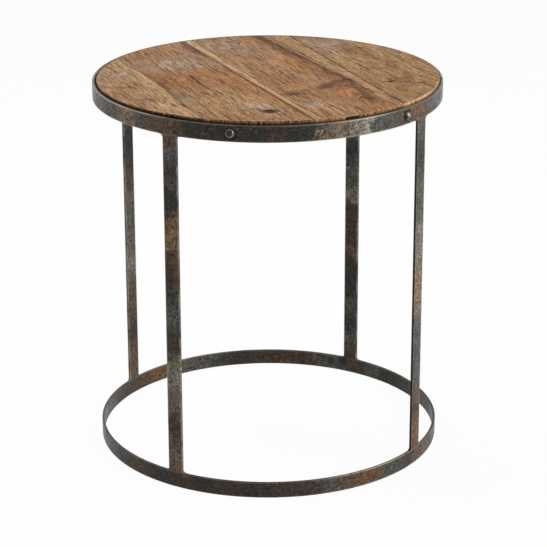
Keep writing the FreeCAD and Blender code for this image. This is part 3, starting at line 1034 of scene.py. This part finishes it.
def rimRings(edges, outs, edgeLift, wear, chip, onRim):
    # rings of points from the top face over the arris and down the side: x, y, height, share of rim
    rings = []
    for turn in top["arrisTurns"]:
        out, drop = math.sin(math.radians(turn)), 1 - math.cos(math.radians(turn))
        share = out - np.minimum(chip / np.maximum(wear, 0.1) * 0.55, 0.9) * out
        rings.append((share, edgeLift - drop * wear * 0.8 - chip * (0.4 + 0.6 * out), onRim * out))
    bottom = top["thickness"]
    for depth, pull in ((6.0, 0.35), (8.5, 0.1), (14.0, 0.0), (bottom - 1, 0.0), (bottom, 0.4)):
        share = 1 - np.minimum(pull * (chip / 3 + 0.3 if depth < 10 else 1), 0.9)
        rings.append((share, np.full(len(chip), -depth), onRim * (depth < bottom)))
    (edgeX, edgeY), (outX, outY) = edges, outs
    runX, runY = outX - edgeX, outY - edgeY
    return [(edgeX + runX * share, edgeY + runY * share, *rest) for share, *rest in rings]


def quadFaces(*corners):
    return [tuple(quad) for quad in np.stack(corners, axis=-1).reshape(-1, 4).tolist()]


def boardFaces(ids, loop, ringCount):
    rows, columns = ids.shape
    faces = quadFaces(ids[:-1, :-1], ids[:-1, 1:], ids[1:, 1:], ids[1:, :-1])
    previous = loop
    for ring in range(ringCount):
        this = rows * columns + ring * len(loop) + np.arange(len(loop))
        faces += quadFaces(np.roll(previous, -1), previous, this, np.roll(this, -1))
        previous = this
    # underside: quads between the two ends of neighbouring columns, then the two seam sides
    first = previous[:columns]
    second = previous[columns + rows - 2:2 * columns + rows - 2][::-1]
    faces += quadFaces(first[:-1], first[1:], second[1:], second[:-1])
    faces.append(tuple(previous[columns - 1:columns + rows - 1].tolist()))
    faces.append(tuple(previous[2 * columns + rows - 3:].tolist() + previous[:1].tolist()))
    return faces


def leanBoard(xs, ys, low, high, lean):
    # a tapered board: its seam leans, and its ends stay on the rim
    share = np.clip((xs - low) / (high - low), 0, 1)
    leaned = xs + (lean[0] * (1 - share) + lean[1] * share) * ys
    limit = (top["radius"] + 0.5) ** 2
    return leaned, ys * np.sqrt((limit - leaned ** 2) / (limit - xs ** 2))


def addBoard(place, low, high, wears):
    look = boards[place]
    inset = top["radius"] - look["rimWear"]
    columnX = boardColumns(low, high, inset, wears)
    half = np.sqrt(np.maximum(inset ** 2 - columnX ** 2, 0))
    rows = int(2 * half.max() / top["rowStep"])
    columns = len(columnX)
    x = np.broadcast_to(columnX, (rows, columns)).copy()
    y = np.linspace(-1, 1, rows)[:, None] * half
    lift, hollow = boardRelief(x, y, look)
    # outline of the grid, counter-clockwise, and where each point meets the true edge
    ids = np.arange(rows * columns).reshape(rows, columns)
    loop = np.concatenate([ids[0, :-1], ids[:-1, -1], ids[-1, :0:-1], ids[:0:-1, 0]])
    edgeX, edgeY = x.ravel()[loop], y.ravel()[loop]
    onArc = np.isclose(np.hypot(edgeX, edgeY), inset, atol=1e-6)
    outX, outY = edgeX * top["radius"] / inset, edgeY * top["radius"] / inset
    onLow = np.isclose(edgeX, columnX[0]) & (low > -top["radius"])
    onHigh = np.isclose(edgeX, columnX[-1]) & (high < top["radius"])
    for side, sideX in ((onLow, low), (onHigh, high)):
        corner = side & onArc
        outX[side], outY[side] = sideX, edgeY[side]
        outY[corner] = np.sign(edgeY[corner]) * math.sqrt(top["radius"] ** 2 - sideX ** 2)
    onRim, chip, broken = rimChips(edgeX, edgeY, outX, outY, look)
    seamWear = np.where(onLow, wears[0], wears[1])
    wear = seamWear + (look["rimWear"] - seamWear) * onRim
    rings = rimRings((edgeX, edgeY), (outX, outY), lift.ravel()[loop], wear, chip, onRim)
    parts = [(x, y, lift, np.zeros_like(x)), *rings]
    xs, ys, zs, rim = [np.concatenate([np.ravel(value) for value in values]) for values in zip(*parts)]
    # how dark each point is painted: painted shade in cracks, nail holes and deep rim chips
    dark = np.concatenate([hollow.ravel()] + [broken * (ring[3] > 0.5) for ring in rings])
    xs, ys = leanBoard(xs, ys, low, high, look.get("lean", (0, 0)))
    cosine, sine = math.cos(top["turn"]), math.sin(top["turn"])
    verts = np.stack([xs * cosine - ys * sine, xs * sine + ys * cosine, top["height"] + zs], axis=-1) * mm
    name = "plank_" + place + "_board"
    mesh = bpy.data.meshes.new(name)
    mesh.from_pydata(verts.tolist(), [], boardFaces(ids, loop, len(rings)))
    for mask, values in {"rim": rim, "hollow": np.clip(dark, 0, 1)}.items():
        layer = mesh.attributes.new(mask, "FLOAT", "POINT")
        layer.data.foreach_set("value", values.astype(np.float32))
    mesh.materials.append(boardFinish(name, look))
    dressPiece(addObject(name, mesh), ["plank_" + place], 60)


boardEdges = [-top["radius"], *top["seams"], top["radius"]]
seamWears = [0, *top["seamWear"], 0]
seamGaps = [0, *top["seamGap"], 0]
for index, boardPlace in enumerate(boards):
    lowEdge = boardEdges[index] + seamGaps[index]
    highEdge = boardEdges[index + 1] - seamGaps[index + 1]
    addBoard(boardPlace, lowEdge, highEdge, seamWears[index:index + 2])


# Sawn softwood below the boards, and plain nails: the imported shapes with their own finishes
sawn = {
    "grain": ((190, 6, 6), 4, 0.6),
    "saw": ((2.2, 60, 30), 2, 0.5),
    "tones": [(0.34, (0.24, 0.145, 0.075)), (0.5, (0.42, 0.29, 0.165)), (0.66, (0.52, 0.39, 0.24))],
    "sawMark": (0.2, 0.13, 0.075),
}


def sawnFinish():
    f = Finish("sawnSoftwood")
    place = f.place(-top["turn"])
    grain, saw = [f.layer(place, sawn[kind], (0, 0, 0)) for kind in ("grain", "saw")]
    colour = f.ramp(grain, sawn["tones"])
    return f.surface({
        "Base Color": f.mix(f.ease(saw, 0.5, 0.7) * 0.3, colour, sawn["sawMark"]),
        "Roughness": 0.7 + grain * 0.2,
        "Normal": f.bump(saw + grain, 0.4, 0.6 * mm),
    })


sawnWood = sawnFinish()
nailFinish = ironFinish("nailIron", {0: "charcoal", 560: "slate", 610: "umber"}, "height", 40, 0.45)
carried = {
    "batten_front": sawnWood, "batten_back": sawnWood,
    "left_seam_tongue": sawnWood, "middle_seam_tongue": sawnWood, "right_seam_tongue": sawnWood,
    "front_batten_nails": nailFinish, "back_batten_nails": nailFinish,
}
for node, finish in carried.items():
    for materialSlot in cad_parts[node].material_slots:
        materialSlot.material = finish
print("carried-over nodes finished:", len(carried))


# Camera at the photograph's viewing angle
view = {
    "distance": 3.4153, "height": 1.5176, "azimuth": -13.111,
    "pitch": 20.0145, "yaw": 0.1477, "roll": -0.1346, "lens": 144.957, "sensor": 36.0,
}


def addCamera():
    swing, yaw, pitch, roll = [math.radians(view[key]) for key in ("azimuth", "yaw", "pitch", "roll")]
    away = view["distance"]
    place = Vector((away * math.sin(swing), -away * math.cos(swing), view["height"]))
    heading = yaw - swing
    flat = Vector((math.cos(heading), -math.sin(heading), 0))
    level = Vector((math.sin(heading), math.cos(heading), 0))
    ahead = level * math.cos(pitch) - Vector((0, 0, math.sin(pitch)))
    upright = flat.cross(ahead)
    right = math.cos(roll) * flat + math.sin(roll) * upright
    up = math.cos(roll) * upright - math.sin(roll) * flat
    turned = Matrix((right, up, -ahead)).transposed()
    camera = addObject("camera", bpy.data.cameras.new("camera"))
    camera.data.lens = view["lens"]
    camera.data.sensor_width = view["sensor"]
    camera.matrix_world = Matrix.Translation(place) @ turned.to_4x4()
    bpy.context.scene.camera = camera


# Pale floor and white surroundings, with soft lamps at a plain level
studio = {
    "floorHalf": 14.0, "floorColour": (0.95, 0.95, 0.95), "whiteShare": 0.96, "ambient": 0.30,
    "aim": (0, 0, 0.35),
    "lamps": {
        "key": {"at": (3.5, -2.8, 2.25), "size": 2.0, "power": 147},
        "overhead": {"at": (-0.85, 0.85, 2.6), "size": 2.2, "power": 34},
        "fill": {"at": (-2.8, -1.6, 1.2), "size": 1.6, "power": 4},
    },
}


def seenWhite(f):
    # camera, glossy and transmission rays see white surroundings
    rays = f.node("ShaderNodeLightPath", {}, {}, "Is Camera Ray")
    seen = rays
    for ray in ("Is Glossy Ray", "Is Transmission Ray"):
        seen = seen.maths("MAXIMUM", rays.twin(ray))
    return seen


def addFloor():
    half = studio["floorHalf"]
    corners = [(-half, -half, 0), (half, -half, 0), (half, half, 0), (-half, half, 0)]
    mesh = bpy.data.meshes.new("floor")
    mesh.from_pydata(corners, [], [(0, 1, 2, 3)])
    f = Finish("paleFloor")
    lit = f.node("ShaderNodeBsdfDiffuse", {}, {"Color": (*studio["floorColour"], 1.0)})
    white = f.node("ShaderNodeEmission", {}, {"Strength": 1.0})
    f.close(f.node("ShaderNodeMixShader", {}, {0: seenWhite(f) * studio["whiteShare"], 1: lit, 2: white}))
    mesh.materials.append(f.material)
    addObject("floor", mesh)


def addLight():
    world = bpy.data.worlds.new("surroundings")
    bpy.context.scene.world = world
    world.use_nodes = True
    sky = Sheet(world.node_tree)
    level = seenWhite(sky) * (1.0 - studio["ambient"]) + studio["ambient"]
    background = sky.node("ShaderNodeBackground", {}, {"Strength": level})
    sky.node("ShaderNodeOutputWorld", {}, {"Surface": background})
    for name, lamp in studio["lamps"].items():
        light = bpy.data.lights.new(name, "AREA")
        light.shape = "DISK"
        light.size = lamp["size"]
        light.energy = lamp["power"]
        place = Vector(lamp["at"])
        aim = (Vector(studio["aim"]) - place).to_track_quat("-Z", "Y")
        addObject(name, light).matrix_world = Matrix.Translation(place) @ aim.to_matrix().to_4x4()
    bpy.context.scene.view_settings.view_transform = "Standard"


addCamera()
addFloor()
addLight()
print("camera and studio set")
